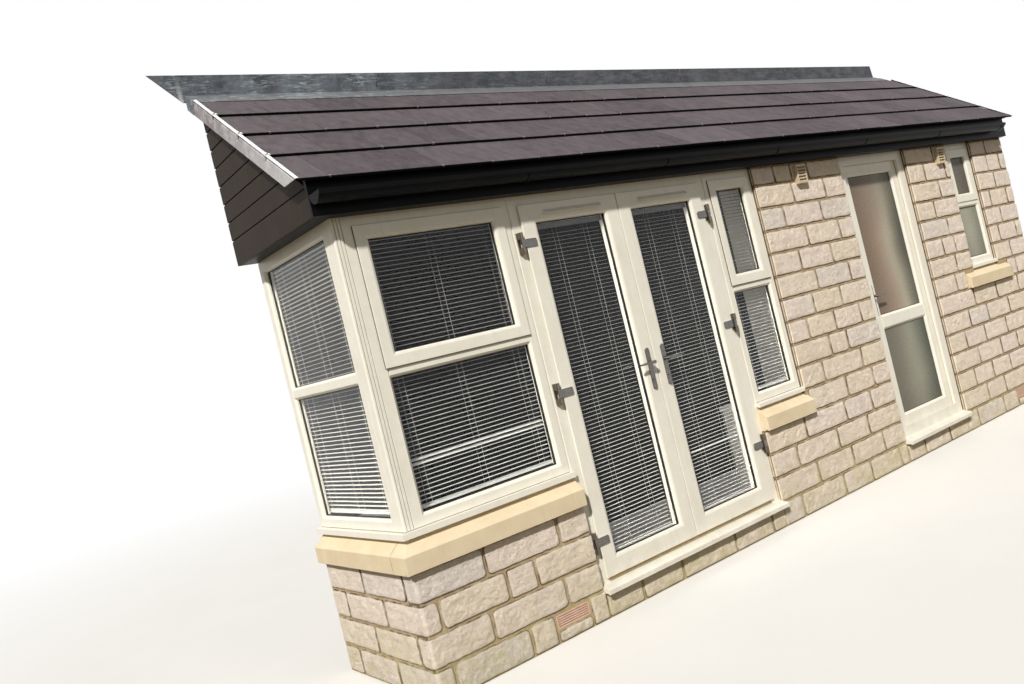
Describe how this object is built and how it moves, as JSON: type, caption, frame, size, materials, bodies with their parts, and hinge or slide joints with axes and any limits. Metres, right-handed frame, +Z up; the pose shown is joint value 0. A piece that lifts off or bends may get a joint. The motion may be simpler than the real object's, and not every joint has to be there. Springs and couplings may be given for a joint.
{
  "type": "bay window wing",
  "caption": "Lean-to bay of a stone house: corner window, outward garden doors, sidelight, back door, small window, tiled roof with a boarded cheek, open at the house wall.",
  "frame": {"origin": "middle of the plan at ground level, on the underside of the floor slab", "axes": "+X along the front wall to the right as seen from outside, +Y from the front face towards the house wall, +Z up"},
  "size_m": [6.853, 1.136, 3.264],
  "materials": {
    "stone": "matte",
    "concrete": "matte",
    "timber": "matte",
    "plaster": "matte",
    "tile": "matte",
    "black_plastic": "satin",
    "lead": "matte",
    "verge_plastic": "satin",
    "cladding": "matte",
    "sandstone": "matte",
    "vent_plastic": "matte",
    "white_plastic": "satin",
    "glass": "polished",
    "blind_metal": "satin",
    "chrome": "polished",
    "brass": "satin",
    "terracotta": "matte"
  },
  "bodies": {
    "house_wing": {"front_plinth": "stone", "return_plinth": "stone", "sidelight_plinth": "stone", "door_bases": "stone", "middle_wall": "stone", "door_pier": "stone", "small_window_wall": "stone", "corner_pier": "stone", "end_wall": "stone", "floor_slab": "concrete", "head_beam": "concrete", "rafters": "timber", "tile_battens": "timber", "ledger": "timber", "ceiling_joists": "timber", "cheek_frame": "timber", "ceiling": "plaster", "window_boards": "plaster", "roof_tiles": "tile", "fascia": "black_plastic", "soffit": "black_plastic", "gutter": "black_plastic", "lead_flashing": "lead", "verges": "verge_plastic", "cheek_cladding": "cladding", "stone_sills": "sandstone", "wall_vents": "vent_plastic", "plastic_cills": "white_plastic", "corner_post": "white_plastic", "return_frame": "white_plastic", "front_frame": "white_plastic", "sidelight_frame": "white_plastic", "small_frame": "white_plastic", "sashes": "white_plastic", "sash_handles": "white_plastic", "door_frame": "white_plastic", "back_door_frame": "white_plastic", "window_glass": "glass", "window_blinds": "blind_metal", "hinge_brackets": "chrome", "air_bricks": "terracotta", "threshold_strip": "brass"},
    "left_door": {"left_leaf": "white_plastic", "left_glass": "glass", "left_furniture": "chrome"},
    "right_door": {"right_leaf": "white_plastic", "right_glass": "glass", "right_furniture": "chrome"},
    "back_door": {"back_leaf": "white_plastic", "back_glass": "glass", "back_furniture": "chrome"},
    "left_handle": {"left_lever": "chrome"},
    "right_handle": {"right_lever": "chrome"},
    "back_handle": {"back_lever": "chrome"}
  },
  "joints": [
    {"name": "left_door_swing", "type": "hinge", "parent": "house_wing", "child": "left_door", "pos_m": [-2.182, -0.484, 1.177], "axis": [0, 0, -1], "range_deg": [0, 90]},
    {"name": "right_door_swing", "type": "hinge", "parent": "house_wing", "child": "right_door", "pos_m": [-0.728, -0.484, 1.177], "axis": [0, 0, 1], "range_deg": [0, 90]},
    {"name": "back_door_swing", "type": "hinge", "parent": "house_wing", "child": "back_door", "pos_m": [1.603, -0.378, 1.177], "axis": [0, 0, -1], "range_deg": [0, 90]},
    {"name": "left_lever_turn", "type": "hinge", "parent": "left_door", "child": "left_handle", "pos_m": [-1.505, -0.475, 1.202], "axis": [0, -1, 0], "range_deg": [-30, 40], "stiffness_Nm_per_rad": 8},
    {"name": "right_lever_turn", "type": "hinge", "parent": "right_door", "child": "right_handle", "pos_m": [-1.382, -0.475, 1.202], "axis": [0, 1, 0], "range_deg": [-30, 40], "stiffness_Nm_per_rad": 8},
    {"name": "back_lever_turn", "type": "hinge", "parent": "back_door", "child": "back_handle", "pos_m": [0.844, -0.436, 1.202], "axis": [0, 1, 0], "range_deg": [-30, 40], "stiffness_Nm_per_rad": 8}
  ]
}
